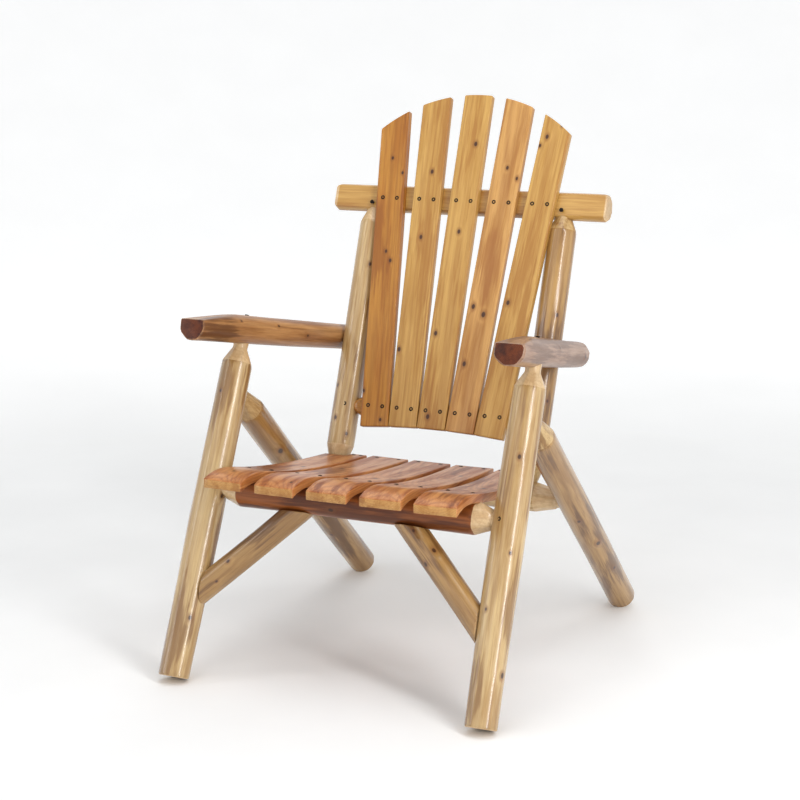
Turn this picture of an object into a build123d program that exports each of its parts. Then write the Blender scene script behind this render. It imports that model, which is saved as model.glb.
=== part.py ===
from build123d import *
import os
from math import atan, cos, degrees, radians, sin, sqrt, tan

# A log armchair: peeled logs joined by pencil-cut ends and round tenons, with sawn slats screwed on.
# Millimetres.  +Z is up, the chair faces -Y, the sitter's left hand is at +X, and the origin is on
# the floor under the middle of the chair.

# Stance
FRONT_FOOT = Vector(309, -394.7, 9.6)  # middle of the log's square-cut end
REAR_FOOT = Vector(304, 400, 19.8)
ARM_JOINT = Vector(299, -125.2, 626.6)  # on a front leg's axis, level with the armrest's axis
REAR_LEG_JOINT_Z = 521.6  # height where the two legs' axes meet
FRONT_RAIL_Z = 342.1
REAR_RAIL_Z = 301.6
RECLINE = 20.3  # back from upright, degrees

# Log and tenon radii
FRONT_LEG_FOOT_R = 29.0
FRONT_LEG_R = 31.5
REAR_LEG_R = 29.0
FRONT_RAIL_R = 31.0
REAR_RAIL_R = 29.0
POST_R = 28.0
TOP_RAIL_R = 27.5
LOWER_RAIL_R = 19.5
BRACE_R = 24.0
ARM_FRONT_R = 28.5
ARM_REAR_R = 25.5
TENON_R = 16.0
ARM_TENON_R = 14.5
LOWER_TENON_R = 13.0

# Armrest
ARM_SLOPE = 10.5  # down towards the rear, degrees
ARM_SPLAY = 6.6  # in towards the rear, degrees
ARM_INBOARD = 5.0  # how far its axis passes inside the leg's
ARM_FRONT = 172.0  # axis length in front of the leg joint
ARM_REAR = 385.0
ARM_FLAT_RISE = 11.0  # height of the planed top above the axis, at the front end
ARM_FLAT_SLOPE = 7.5  # the planing runs out of the log towards the rear, degrees
ARM_END_ROUND = 15.0

# Back: lengths run up the back from the rear rail's axis
POST_X = 207.0
TOP_RAIL_UP = 581.3
TOP_RAIL_HALF = 296.0
TOP_RAIL_FLAT_HALF = 196.0
LOWER_RAIL_UP = 144.6
LOWER_RAIL_FORWARD = 2.0
BACK_SLAT_WIDTH = 60.4
BACK_SLAT_THICK = 16.0
BACK_SLAT_OFFSET = 17.0  # from the posts' axes to the slats' rear faces
BACK_SLAT_FOOT = 108.3
BACK_FAN_RADIUS = 1456.0
BACK_FAN_STEP = 2.43
CROWN_RADIUS = 315.5
CROWN_CENTRE = 483.0

# Seat
SEAT_SLAT_WIDTH = 80.0
SEAT_SLAT_THICK = 17.0
SEAT_SLAT_PITCH = 105.5
SEAT_FAN_STEP = 1.7
SEAT_TOP = (  # side outline of a seat slat's upper face: y, z
    (-370.3, 390.1),
    (-318.0, 398.4),
    (-251.0, 387.0),
    (-176.0, 373.0),
    (-62.0, 357.8),
    (60.0, 347.6),
    (98.0, 344.8),
)
SLATS = (-2, -1, 0, 1, 2)  # from the sitter's right to the left

# Joints
SEAT_CUT = 1.0  # depth of the flat seats for the braces
FOOT_EDGE = 1.0  # eased edge of a leg's cut end
POST_NOTCH_GAP = 2.0
ROUND_EDGE = 3.0
SCREW_HEAD_R = 4.2
SCREW_SHANK_R = 2.2
SCREW_HEAD_LENGTH = 3.0
SCREW_SINK = 0.6  # head face below the wood
SCREW_WAY_IN = 20.0  # clear bore above a head
FRONT_ROW = 8.0  # how far the seat's screws lie behind the front rail's axis
REAR_ROW = 4.0  # and behind the rear rail's
SLAT_SCREW = 42.0
JOINT_SCREW = 50.0
ARM_SCREW = 74.0
BRACE_SCREW = 80.0
BACK_SCREW_HALF_PITCH = 15.8
SEAT_SCREWS = (-24.0, 24.0)  # from a seat slat's middle
NOTCHED_SCREWS = (-32.0, -16.0)  # from an outer slat's middle at the rear, inside the back post
LEG_SCREW_SIDE = 12.0  # a leg screw's place inward of the leg's axis

LEAN = degrees(atan((ARM_JOINT.Y - FRONT_FOOT.Y) / (ARM_JOINT.Z - FRONT_FOOT.Z)))


def at_height(start, end, z):
    """The point of a straight line, given by two of its points, at a height."""
    return start + (end - start) * ((z - start.Z) / (end.Z - start.Z))


REAR_LEG_JOINT = at_height(FRONT_FOOT, ARM_JOINT, REAR_LEG_JOINT_Z)
FRONT_RAIL_END = at_height(FRONT_FOOT, ARM_JOINT, FRONT_RAIL_Z)
REAR_RAIL_END = at_height(REAR_FOOT, REAR_LEG_JOINT, REAR_RAIL_Z)
ARM_AXIS = Vector(
    -sin(radians(ARM_SPLAY)) * cos(radians(ARM_SLOPE)),
    cos(radians(ARM_SPLAY)) * cos(radians(ARM_SLOPE)),
    -sin(radians(ARM_SLOPE)),
)

# The back's plane holds the posts' axes: x to the left hand, y up the back, z to the front.
BACK = Plane(
    origin=(0, REAR_RAIL_END.Y, REAR_RAIL_Z),
    x_dir=(1, 0, 0),
    z_dir=(0, -cos(radians(RECLINE)), sin(radians(RECLINE))),
)
# The front frame's plane holds the front legs, the front rail and the braces, in the same way.
FRONT = Plane(
    origin=(0, FRONT_FOOT.Y, FRONT_FOOT.Z),
    x_dir=(1, 0, 0),
    z_dir=(0, -cos(radians(LEAN)), sin(radians(LEAN))),
)
FRONT_RAIL_UP = (FRONT_RAIL_Z - FRONT_FOOT.Z) / cos(radians(LEAN))
BRACE_FOOT = Vector(306.9, 144.7, 0)  # where a brace's axis meets the leg's axis, in that plane
BRACE_HEAD = Vector(86.9, FRONT_RAIL_UP, 0)  # and where it meets the front rail's axis


def along(start, direction):
    """The plane that has a log's axis as its z axis, and an x axis as near to the world's as can be."""
    axis = direction.normalized()
    side = Vector(1, 0, 0) if abs(axis.X) < 0.9 else Vector(0, 1, 0)
    return Plane(origin=start, x_dir=side - axis * side.dot(axis), z_dir=axis)


def turned(profile):
    """A round log about the z axis, from its (distance along the axis, radius) stations."""
    outline = [(radius, distance) for distance, radius in profile]
    foot = (0, profile[0][0])
    top = (0, profile[-1][0])
    return revolve(Plane.XZ * make_face(Polyline(foot, *outline, top, close=True)), Axis.Z)


def mirrored(shape):
    """The same piece for the sitter's right hand."""
    return mirror(shape, about=Plane.YZ)


def screw_solid():
    """A countersunk screw along -z, its head's face at the origin, with its shank cut to length later."""
    return Pos(0, 0, -SCREW_HEAD_LENGTH / 2) * Cone(SCREW_SHANK_R, SCREW_HEAD_R, SCREW_HEAD_LENGTH)


def screw(head, direction, length):
    """A screw whose head lies just under a point of the surface, and the bore that it needs."""
    place = along(head, -direction)
    shank_length = length - SCREW_HEAD_LENGTH
    shank = Pos(0, 0, -SCREW_HEAD_LENGTH - shank_length / 2) * Cylinder(SCREW_SHANK_R, shank_length)
    solid = Pos(0, 0, -SCREW_SINK) * (screw_solid() + shank)
    way_in = Pos(0, 0, SCREW_WAY_IN / 2 - SCREW_SINK) * Cylinder(SCREW_HEAD_R, SCREW_WAY_IN)
    return place * solid, place * (solid + way_in)


def above_floor(leg):
    """A leg with the lowest edge of its square-cut end trimmed level where it bears on the floor."""
    return leg - Pos(0, 0, -50) * Box(1000, 1000, 100)


def front_leg():
    """A front leg: square-cut foot, swelling log, pencil-cut top and the tenon for the armrest."""
    length = (ARM_JOINT - FRONT_FOOT).length
    profile = [
        (0, FRONT_LEG_FOOT_R - FOOT_EDGE),
        (FOOT_EDGE, FRONT_LEG_FOOT_R),
        (0.45 * length, FRONT_LEG_R),
        (length - 67, FRONT_LEG_R - 2),
        (length - 39, ARM_TENON_R),
        (length + 6, ARM_TENON_R),
    ]
    return above_floor(along(FRONT_FOOT, ARM_JOINT - FRONT_FOOT) * turned(profile))


def rear_leg():
    """A rear leg: square-cut foot, straight log, long pencil cut and the tenon in the front leg."""
    length = (REAR_LEG_JOINT - REAR_FOOT).length
    profile = [
        (0, REAR_LEG_R - FOOT_EDGE),
        (FOOT_EDGE, REAR_LEG_R),
        (length - 88, REAR_LEG_R),
        (length - 38, TENON_R + 2),
        (length - 30, TENON_R),
        (length - 2, TENON_R),
    ]
    return above_floor(along(REAR_FOOT, REAR_LEG_JOINT - REAR_FOOT) * turned(profile))


def rail(half, shoulder, radius, neck_radius, tenon_radius, neck):
    """A cross rail about the z axis: a log with a pencil cut and a tenon at each end."""
    stations = [
        (half, tenon_radius),
        (neck, tenon_radius),
        (neck, neck_radius),
        (shoulder, radius),
    ]
    near = [(-distance, size) for distance, size in stations]
    return turned(near + stations[::-1])


def front_rail():
    """The front seat rail, level between the front legs."""
    place = along(Vector(0, FRONT_RAIL_END.Y, FRONT_RAIL_Z), Vector(1, 0, 0))
    return place * rail(FRONT_RAIL_END.X - 2, 238, FRONT_RAIL_R, TENON_R + 3.5, TENON_R, 268)


def rear_rail():
    """The rear seat rail, with longer pencil cuts, between the rear legs."""
    place = along(Vector(0, REAR_RAIL_END.Y, REAR_RAIL_Z), Vector(1, 0, 0))
    return place * rail(REAR_RAIL_END.X - 2, 228, REAR_RAIL_R, TENON_R + 2.5, TENON_R, 272)


def lower_rail():
    """The thin rail behind the back slats' feet, planed where the slats lie on it."""
    place = BACK * Pos(0, LOWER_RAIL_UP, LOWER_RAIL_FORWARD) * Rot(0, 90, 0)
    log = place * rail(POST_X - 4, POST_X - 36, LOWER_RAIL_R, LOWER_TENON_R + 1, LOWER_TENON_R, POST_X - 26)
    planed = BACK * Pos(0, LOWER_RAIL_UP, BACK_SLAT_OFFSET + 25) * Box(2 * POST_X, 80, 50)
    return log - planed


def back_post():
    """A back post: a log that is pencil cut to a tenon at both ends."""
    profile = [
        (-20, TENON_R),
        (24, TENON_R),
        (28, TENON_R + 3),
        (58.6, POST_R),
        (532, POST_R),
        (TOP_RAIL_UP - TOP_RAIL_R, TENON_R + 2),
        (TOP_RAIL_UP - TOP_RAIL_R + 4, TENON_R),
        (TOP_RAIL_UP + 8, TENON_R),
    ]
    return BACK * Pos(POST_X, 0, 0) * Rot(-90, 0, 0) * turned(profile)


def top_rail():
    """The top rail: it runs out past the posts, and is planed flat behind the slats."""
    half = TOP_RAIL_HALF
    profile = [
        (-half, TOP_RAIL_R - ROUND_EDGE),
        (-half + ROUND_EDGE, TOP_RAIL_R),
        (half - ROUND_EDGE, TOP_RAIL_R),
        (half, TOP_RAIL_R - ROUND_EDGE),
    ]
    log = BACK * Pos(0, TOP_RAIL_UP, 0) * Rot(0, 90, 0) * turned(profile)
    depth = TOP_RAIL_R - BACK_SLAT_OFFSET
    run_out = 30
    outline = Polyline(
        (-TOP_RAIL_FLAT_HALF, 0),
        (TOP_RAIL_FLAT_HALF, 0),
        (TOP_RAIL_FLAT_HALF + run_out, depth + 1),
        (-TOP_RAIL_FLAT_HALF - run_out, depth + 1),
        close=True,
    )
    # drawn with x along the rail and y to the front, then carried up and down the back
    section = BACK * Pos(0, TOP_RAIL_UP, BACK_SLAT_OFFSET) * Rot(90, 0, 0) * make_face(outline)
    return log - extrude(section, TOP_RAIL_R, both=True)


def armrest():
    """An armrest: a tapering log, sawn off in front, rounded behind, and planed over the hand."""
    length = ARM_FRONT + ARM_REAR
    log = turned([(0, ARM_FRONT_R), (length, ARM_REAR_R)])
    ends = log.edges().filter_by(GeomType.CIRCLE).sort_by(Axis.Z)
    log = fillet(ends[-1], ARM_END_ROUND)
    log = chamfer(log.edges().filter_by(GeomType.CIRCLE).sort_by(Axis.Z)[0], ROUND_EDGE / 2)
    # in the log's own plane -y is up
    planed = Pos(0, -ARM_FLAT_RISE, 0) * Rot(ARM_FLAT_SLOPE, 0, 0) * Pos(0, -30, length / 2)
    log -= planed * Box(3 * ARM_FRONT_R, 60, length * 1.2)
    front_end = ARM_JOINT - Vector(ARM_INBOARD, 0, 0) - ARM_AXIS * ARM_FRONT
    return along(front_end, ARM_AXIS) * log


def brace():
    """A brace from a front leg up to the front rail, sawn flat at both ends."""
    run = BRACE_HEAD - BRACE_FOOT
    log = along(BRACE_FOOT, run) * turned([(0, BRACE_R), (run.length, BRACE_R)])
    log -= Pos(BRACE_HEAD.X, FRONT_RAIL_UP - FRONT_RAIL_R + SEAT_CUT + 50, 0) * Box(200, 100, 100)
    inward = degrees(atan((FRONT_FOOT.X - ARM_JOINT.X) / (ARM_JOINT - FRONT_FOOT).length))
    swell = (FRONT_LEG_R - FRONT_LEG_FOOT_R) * BRACE_FOOT.Y / (0.45 * (ARM_JOINT - FRONT_FOOT).length)
    leg_side = FRONT_LEG_FOOT_R + swell - SEAT_CUT
    leg_line = Pos(FRONT_FOOT.X, 0, 0) * Rot(0, 0, inward) * Pos(50 - leg_side, BRACE_FOOT.Y, 0)
    log -= leg_line * Box(100, 200, 100)
    return FRONT * log


def back_slat(index):
    """One back slat: a board bevelled along its edges, fanned out, with its top on the crown."""
    length = 720
    board = Box(BACK_SLAT_WIDTH, length, BACK_SLAT_THICK)
    board = chamfer(board.edges().filter_by(Axis.Y).group_by(Axis.Z)[-1], ROUND_EDGE)
    board = chamfer(board.edges().filter_by(Axis.Y).group_by(Axis.Z)[0], ROUND_EDGE / 2)
    forward = BACK_SLAT_OFFSET + BACK_SLAT_THICK / 2
    board = Pos(0, BACK_FAN_RADIUS + length / 2, forward) * board
    board = Pos(0, BACK_SLAT_FOOT - BACK_FAN_RADIUS, 0) * Rot(0, 0, -BACK_FAN_STEP * index) * board
    crown = Pos(0, CROWN_CENTRE, forward) * Cylinder(CROWN_RADIUS, 3 * BACK_SLAT_THICK)
    below = Pos(0, CROWN_CENTRE - 300, forward) * Box(800, 600, 3 * BACK_SLAT_THICK)
    return BACK * (board & (crown + below))


def seat_slat(index):
    """One seat slat: a shaped board that dips to the rear and falls away over the front rail."""
    lower = [(y, z - SEAT_SLAT_THICK) for y, z in SEAT_TOP]
    side = make_face(
        [
            Spline(*SEAT_TOP),
            Line(SEAT_TOP[-1], lower[-1]),
            Spline(*lower[::-1]),
            Line(lower[0], SEAT_TOP[0]),
        ]
    )
    board = extrude(Plane.YZ * side, SEAT_SLAT_WIDTH / 2, both=True)
    flanks = board.faces().filter_by(Axis.X)
    long_edges = [edge for face in flanks for edge in face.edges() if edge.length > 2 * SEAT_SLAT_THICK]
    board = chamfer(long_edges, ROUND_EDGE / 2)
    front_y = SEAT_TOP[0][0]
    turn = Pos(0, front_y, 0) * Rot(0, 0, SEAT_FAN_STEP * index) * Pos(0, -front_y, 0)
    board = Pos(SEAT_SLAT_PITCH * index, 0, 0) * turn * board
    if abs(index) == SLATS[-1]:
        board -= post_notch(index)
    return board


def post_notch(index):
    """The saw cut in the rear outer corner of an outer seat slat, which lets the back post pass."""
    side = 1 if index > 0 else -1
    inner = POST_X - POST_R - POST_NOTCH_GAP
    front = REAR_RAIL_END.Y - POST_R + 15
    return Pos(side * (inner + 50), front + 50, SEAT_TOP[-1][1]) * Box(100, 100, 100)


def slat_line(index, up):
    """A back slat's middle at a height up the back, in the back's plane."""
    turn = radians(BACK_FAN_STEP * index)
    rise = up - BACK_SLAT_FOOT + BACK_FAN_RADIUS
    return rise * tan(turn)


def back_slat_screws(up):
    """Two screws in each back slat, in a row at one height."""
    front = BACK_SLAT_OFFSET + BACK_SLAT_THICK
    row = []
    for index in SLATS:
        for side in (-1, 1):
            x = slat_line(index, up) + side * BACK_SCREW_HALF_PITCH
            head = BACK.from_local_coords(Vector(x, up, front))
            row.append(screw(head, -BACK.z_dir, SLAT_SCREW))
    return row


def seat_top_at(y):
    """The height of the seat's upper face on a line across the chair."""
    for (y0, z0), (y1, z1) in zip(SEAT_TOP, SEAT_TOP[1:]):
        if y0 <= y <= y1:
            return z0 + (z1 - z0) * (y - y0) / (y1 - y0)
    return SEAT_TOP[-1][1]


def seat_slat_screws(y, outer_places):
    """Two screws in each seat slat, driven straight down in a row."""
    row = []
    for index in SLATS:
        middle = SEAT_SLAT_PITCH * index - tan(radians(SEAT_FAN_STEP * index)) * (y - SEAT_TOP[0][0])
        places = outer_places if abs(index) == SLATS[-1] else SEAT_SCREWS
        side = 1 if index > 0 else -1
        for place in places:
            head = Vector(middle + side * place, y, seat_top_at(y))
            row.append(screw(head, Vector(0, 0, -1), SLAT_SCREW))
    return row


def both_sides(point, direction, length):
    """One screw at the left hand and its twin at the right."""
    twin_point = Vector(-point.X, point.Y, point.Z)
    twin_direction = Vector(-direction.X, direction.Y, direction.Z)
    return [screw(point, direction, length), screw(twin_point, twin_direction, length)]


def joint_screws():
    """The screws that pin the tenons and the armrests, by node name."""
    inward = Vector(-1, 0, 0)
    leg_axis = (ARM_JOINT - FRONT_FOOT).normalized()
    leg_depth = sqrt(FRONT_LEG_R**2 - LEG_SCREW_SIDE**2)
    leg_place = Vector(FRONT_RAIL_END.X - LEG_SCREW_SIDE, FRONT_RAIL_UP, leg_depth)
    front_rail_joint = FRONT.from_local_coords(leg_place)
    rear_leg_axis = (REAR_LEG_JOINT - REAR_FOOT).normalized()
    rear_leg_up = Vector(0, rear_leg_axis.Z, -rear_leg_axis.Y)
    # from behind the front leg, slanting down through the rear leg's tenon
    rear_leg_joint = REAR_LEG_JOINT + leg_axis * 40 - FRONT.z_dir * (FRONT_LEG_R - 1)
    top_drop = 13.0
    top_place = Vector(POST_X, TOP_RAIL_UP - top_drop, sqrt(TOP_RAIL_R**2 - top_drop**2))
    top_joint = BACK.from_local_coords(top_place)
    lower_side = 8.0
    lower_place = Vector(POST_X - lower_side, LOWER_RAIL_UP, sqrt(POST_R**2 - lower_side**2))
    lower_joint = BACK.from_local_coords(lower_place)
    arm_at_post = ARM_JOINT + ARM_AXIS * ((BACK.origin.Y + 98 - ARM_JOINT.Y) / ARM_AXIS.Y)
    arm_level = BACK.to_local_coords(arm_at_post).Y
    arm_joint = BACK.from_local_coords(Vector(POST_X - POST_R, arm_level, 0))
    return {
        "front_rail_screws": both_sides(front_rail_joint, FRONT_RAIL_END - front_rail_joint, JOINT_SCREW),
        "rear_rail_screws": both_sides(REAR_RAIL_END + rear_leg_up * REAR_LEG_R, -rear_leg_up, JOINT_SCREW),
        "rear_leg_screws": both_sides(rear_leg_joint, REAR_LEG_JOINT - rear_leg_joint, JOINT_SCREW),
        "top_rail_screws": both_sides(top_joint, -BACK.z_dir, JOINT_SCREW),
        "lower_rail_screws": both_sides(lower_joint, -BACK.z_dir, JOINT_SCREW - 5),
        "leg_top_screws": both_sides(ARM_JOINT + leg_axis * 28, -leg_axis, JOINT_SCREW),
        "armrest_screws": both_sides(arm_joint, -inward, ARM_SCREW),
    }


def brace_screws():
    """Two slanting screws in each brace, from behind: one into the leg, one up into the front rail."""
    run = (BRACE_HEAD - BRACE_FOOT).normalized()
    screws = []
    for end, inward in ((BRACE_FOOT, run), (BRACE_HEAD, -run)):
        start = FRONT.from_local_coords(end + inward * 78 - Vector(0, 0, BRACE_R))
        target = FRONT.from_local_coords(end)
        screws += both_sides(start, target - start, BRACE_SCREW)
    return screws


def build():
    """All the pieces by node name, each cut to receive its neighbours."""
    screws = {
        "back_slat_screws_top": back_slat_screws(TOP_RAIL_UP - 5),
        "back_slat_screws_bottom": back_slat_screws(LOWER_RAIL_UP),
        "seat_slat_screws_front": seat_slat_screws(FRONT_RAIL_END.Y + FRONT_ROW, SEAT_SCREWS),
        "seat_slat_screws_rear": seat_slat_screws(REAR_RAIL_END.Y + REAR_ROW, NOTCHED_SCREWS),
        "brace_screws": brace_screws(),
        **joint_screws(),
    }
    bores = [bore for group in screws.values() for _, bore in group]

    raw = {
        "front_leg": front_leg(),
        "rear_leg": rear_leg(),
        "back_post": back_post(),
        "armrest": armrest(),
        "brace": brace(),
    }
    arm = raw["armrest"] - raw["front_leg"] - raw["back_post"]
    rear = raw["rear_leg"]
    front_seat_rail = front_rail()
    rear_seat_rail = rear_rail()
    lower = lower_rail()
    top = top_rail()
    outer_slat = back_slat(SLATS[-1])

    leg = raw["front_leg"] - rear - front_seat_rail - raw["brace"]
    post = raw["back_post"] - lower - outer_slat
    rear = rear - rear_seat_rail
    sided = {
        "front_leg": leg,
        "rear_leg": rear,
        "back_post": post,
        "armrest": arm,
        "brace": raw["brace"],
    }

    seat = {index: seat_slat(index) for index in SLATS}
    front_seat_rail -= list(seat.values())
    front_seat_rail -= [raw["brace"], mirrored(raw["brace"])]
    rear_seat_rail -= list(seat.values())
    rear_seat_rail -= [raw["back_post"], mirrored(raw["back_post"])]
    top -= [raw["back_post"], mirrored(raw["back_post"])]

    pieces = {
        "front_seat_rail": front_seat_rail,
        "rear_seat_rail": rear_seat_rail,
        "lower_back_rail": lower,
        "top_rail": top,
    }
    for name, shape in sided.items():
        pieces[f"{name}_left"] = shape
        pieces[f"{name}_right"] = mirrored(shape)
    for number, index in enumerate(SLATS, start=1):
        pieces[f"seat_slat_{number}"] = seat[index]
        pieces[f"back_slat_{number}"] = back_slat(index)

    drilled = {}
    for name, shape in pieces.items():
        box = shape.bounding_box()
        near = [bore for bore in bores if reaches(bore.bounding_box(), box)]
        drilled[name] = shape - near if near else shape
    for name, group in screws.items():
        drilled[name] = Compound([solid for solid, _ in group])
    return drilled


def reaches(first, second):
    """Whether two boxes meet."""
    apart_x = first.max.X < second.min.X or second.max.X < first.min.X
    apart_y = first.max.Y < second.min.Y or second.max.Y < first.min.Y
    apart_z = first.max.Z < second.min.Z or second.max.Z < first.min.Z
    return not (apart_x or apart_y or apart_z)


os.makedirs("parts", exist_ok=True)
for node, shape in build().items():
    export_step(shape, f"parts/{node}.step")
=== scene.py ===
"""The looks of the log armchair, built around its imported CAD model.

Metres, in the CAD model's own frame: +Z up, the chair faces -Y, the sitter's left hand at +X.
Every log and board is measured on its CAD node, then rebuilt as a finer mesh with the shape that
peeling and drawknife work leave, and with solid wood grain that runs along the piece.
"""

import math
import random

import bpy
import numpy as np
from mathutils import Matrix, Vector, noise
from mathutils.bvhtree import BVHTree


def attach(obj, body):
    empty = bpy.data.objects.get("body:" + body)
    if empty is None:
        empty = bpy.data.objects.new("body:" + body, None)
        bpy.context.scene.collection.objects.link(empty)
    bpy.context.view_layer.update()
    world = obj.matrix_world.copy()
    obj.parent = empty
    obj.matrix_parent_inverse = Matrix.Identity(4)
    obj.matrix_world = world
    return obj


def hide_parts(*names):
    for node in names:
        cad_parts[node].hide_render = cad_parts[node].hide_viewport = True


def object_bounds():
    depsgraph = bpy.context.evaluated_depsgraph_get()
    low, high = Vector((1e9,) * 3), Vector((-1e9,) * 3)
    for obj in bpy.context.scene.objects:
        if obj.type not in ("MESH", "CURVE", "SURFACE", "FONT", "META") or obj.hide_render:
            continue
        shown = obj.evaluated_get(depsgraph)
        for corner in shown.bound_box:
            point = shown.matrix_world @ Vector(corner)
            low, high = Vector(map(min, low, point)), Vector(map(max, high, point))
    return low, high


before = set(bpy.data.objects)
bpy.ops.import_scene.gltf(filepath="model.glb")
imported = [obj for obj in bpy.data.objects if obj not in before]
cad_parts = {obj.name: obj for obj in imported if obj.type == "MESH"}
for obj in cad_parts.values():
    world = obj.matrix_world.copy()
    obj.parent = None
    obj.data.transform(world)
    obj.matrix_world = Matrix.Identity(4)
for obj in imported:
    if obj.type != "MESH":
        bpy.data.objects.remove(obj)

CAD_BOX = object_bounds()

VIEW_AZIMUTH = math.radians(24.75)
VIEW_ELEVATION = math.radians(11.56)
TO_VIEWER = Vector(
    (
        math.sin(VIEW_AZIMUTH) * math.cos(VIEW_ELEVATION),
        -math.cos(VIEW_AZIMUTH) * math.cos(VIEW_ELEVATION),
        math.sin(VIEW_ELEVATION),
    )
)
CAMERA_PLACE = (1.4217, -3.1405, 1.1945)
LENS = 81.84  # mm, on a sensor 36 mm wide
UP = Vector((0, 0, 1))
RIGHT = UP.cross(TO_VIEWER).normalized()
MM = 0.001

STATION = 4 * MM  # spacing of a mesh's rows along its length
LOG_COLUMNS = 64
BOARD_COLUMNS = 10
END_EASE_REACH = 1.6 * MM
SEAT_EDGE = 1.3 * MM
BACK_EDGE = 2.4 * MM
RIPPLE_SEAT = 0.2 * MM
RIPPLE_BACK = 0.25 * MM
SEAT_LEVEL = 0.36  # height of the seat slats' own frames
SIDES = ("left", "right")
SWEEP_GLOW = 0.40  # how brightly the far part of the floor glows: painted light that stands in for a lit backdrop
GLOW_FROM = 0.9  # metres from the chair where that light sets in
GLOW_FULL = 4.0


# ---------------------------------------------------------------- camera, floor and light


def add_camera():
    """The camera, at the chair's matched viewing angle and distance."""
    data = bpy.data.cameras.new("camera")
    data.lens = LENS
    data.sensor_width = 36
    data.clip_end = 100
    camera = bpy.data.objects.new("camera", data)
    bpy.context.collection.objects.link(camera)
    camera.location = CAMERA_PLACE
    camera.rotation_mode = "QUATERNION"
    camera.rotation_quaternion = (-TO_VIEWER).to_track_quat("-Z", "Y")
    bpy.context.scene.camera = camera


def add_floor():
    """A pale floor that sweeps up far away and glows there as painted light, for a plain background in
    every view.
    """
    flat = 3.0
    steepness = 0.12
    sweep_rings = 12
    rings = [0.0, 0.6, 1.2, 2.0, flat] + [flat + 0.5 * step for step in range(1, sweep_rings + 1)]
    spokes = 64
    points = []
    for radius in rings:
        rise = steepness * max(0.0, radius - flat) ** 2
        for spoke in range(spokes):
            turn = 2 * math.pi * spoke / spokes
            points.append((radius * math.cos(turn), radius * math.sin(turn), rise))
    faces = grid_faces(len(rings), spokes)
    mesh = bpy.data.meshes.new("floor")
    mesh.from_pydata(points, [], faces)
    mesh.polygons.foreach_set("use_smooth", [True] * len(faces))
    floor = bpy.data.objects.new("floor", mesh)
    bpy.context.collection.objects.link(floor)
    graph = Graph("floor_pale")
    place = graph.place()
    speckle = graph.noise(place, 3.0, 3)
    colour = graph.ramp(speckle, (0.3, (0.86, 0.86, 0.855)), (0.7, (0.89, 0.89, 0.885)))
    graph.feed(graph.shader.inputs["Base Color"], colour)
    graph.shader.inputs["Roughness"].default_value = 0.9
    graph.shader.inputs["Specular IOR Level"].default_value = 0.1
    # Painted light: the floor glows white, from nothing near the chair up to SWEEP_GLOW far away.
    distance = graph.vector("LENGTH", place)
    graph.shader.inputs["Emission Color"].default_value = (1, 1, 1, 1)
    glow = graph.span(distance, GLOW_FROM, GLOW_FULL, 0.0, SWEEP_GLOW)
    graph.feed(graph.shader.inputs["Emission Strength"], glow)
    mesh.materials.append(graph.material)


def add_light(name, azimuth, elevation, distance, width, height, power, warmth=1.0):
    """A soft panel of light that looks at the middle of the chair."""
    low, high = CAD_BOX
    middle = (low + high) / 2
    turn = math.radians(azimuth)
    tilt = math.radians(elevation)
    direction = Vector(
        (math.sin(turn) * math.cos(tilt), -math.cos(turn) * math.cos(tilt), math.sin(tilt))
    )
    data = bpy.data.lights.new(name, "AREA")
    data.shape = "RECTANGLE"
    data.size = width
    data.size_y = height
    data.energy = power
    data.color = (1.0, warmth, warmth**2)
    lamp = bpy.data.objects.new(name, data)
    bpy.context.collection.objects.link(lamp)
    lamp.location = middle + direction * distance
    lamp.rotation_mode = "QUATERNION"
    lamp.rotation_quaternion = (-direction).to_track_quat("-Z", "Y")


def add_lights():
    """Even studio light, with tall strips that draw long highlights down the varnished logs."""
    view = math.degrees(VIEW_AZIMUTH)
    add_light("overhead", view, 78, 2.6, 2.0, 1.6, 26)
    add_light("front_fill", view - 40, 30, 3.2, 1.8, 1.8, 8)
    add_light("strip_right", view + 34, 22, 2.6, 0.3, 2.8, 44)
    add_light("strip_left", view - 78, 20, 2.8, 0.25, 2.4, 9)
    add_light("back_fill", view + 180, 45, 3.2, 2.2, 1.8, 16)
    world = bpy.context.scene.world or bpy.data.worlds.new("world")
    bpy.context.scene.world = world
    world.use_nodes = True
    background = world.node_tree.nodes["Background"]
    background.inputs["Color"].default_value = (0.96, 0.98, 1.0, 1)
    background.inputs["Strength"].default_value = 0.48


# ---------------------------------------------------------------- shader helper


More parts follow.
